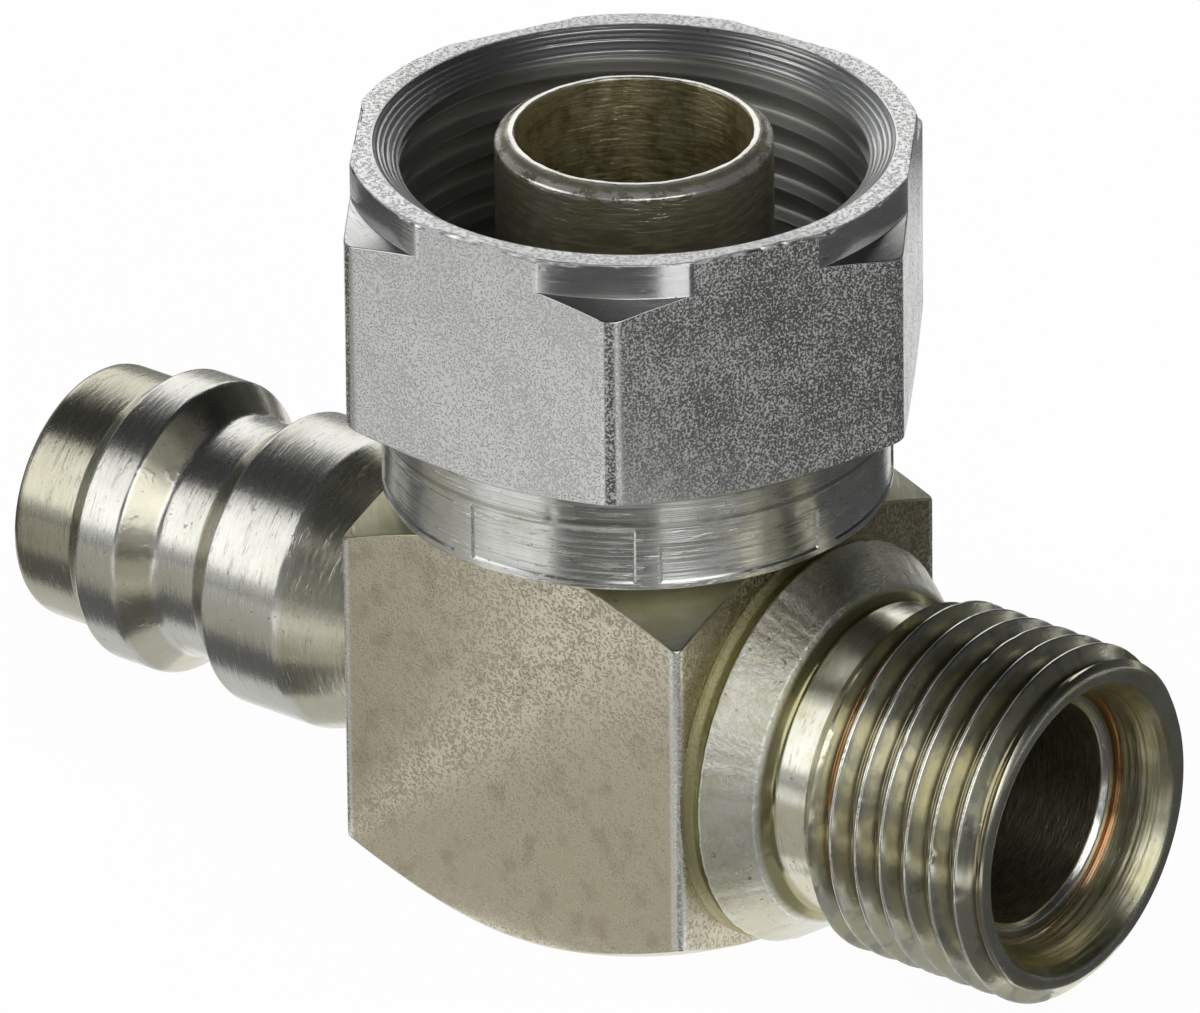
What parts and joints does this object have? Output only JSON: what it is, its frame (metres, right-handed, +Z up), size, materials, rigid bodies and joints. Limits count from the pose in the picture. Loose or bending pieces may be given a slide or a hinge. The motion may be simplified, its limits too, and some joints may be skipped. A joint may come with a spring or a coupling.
{
  "type": "refrigerant service valve",
  "caption": "Metal tee fitting: square block with a crimped swivel hex nut and pilot tube, a male threaded connector, and a quick-coupler service port with a sprung valve core.",
  "frame": {"origin": "centre of the flat that the block stands on, on the swivel nut's axis", "axes": "+Z up along the swivel nut's axis, +X along the male connector and away from the service port"},
  "size_m": [0.0652, 0.0296, 0.0426],
  "materials": {
    "zinc_block": "zinc-plated drawn bar, speckled satin flats",
    "zinc_nut": "bright zinc plating, speckled flats and finely turned rims",
    "zinc_turned": "zinc plating with a faint olive tint over fine turning marks",
    "seal_rubber": "moulded, satin",
    "core_brass": "turned",
    "core_plastic": "matt white fluoroplastic",
    "core_steel": "drawn stainless wire"
  },
  "bodies": {
    "fitting": {"body_block": "zinc_block", "pilot_seal": "seal_rubber", "male_connector": "zinc_turned", "service_port": "zinc_turned", "core_plug": "core_brass", "core_barrel": "core_brass", "core_gasket": "core_plastic", "core_spring": "core_steel"},
    "nut": {"swivel_nut": "zinc_nut"},
    "valve_pin": {"core_pin": "core_steel", "core_cup": "core_brass", "core_seal": "seal_rubber"}
  },
  "joints": [
    {"name": "nut_swivel", "type": "hinge", "parent": "fitting", "child": "nut", "pos_m": [0, 0, 0.0262], "axis": [0, 0, 1], "continuous": true},
    {"name": "pin_push", "type": "slide", "parent": "fitting", "child": "valve_pin", "axis": [1, 0, 0], "range_m": [0, 0.0015], "stiffness_N_per_m": 2000, "springref_m": -0.002, "deforming": ["core_spring"]}
  ]
}
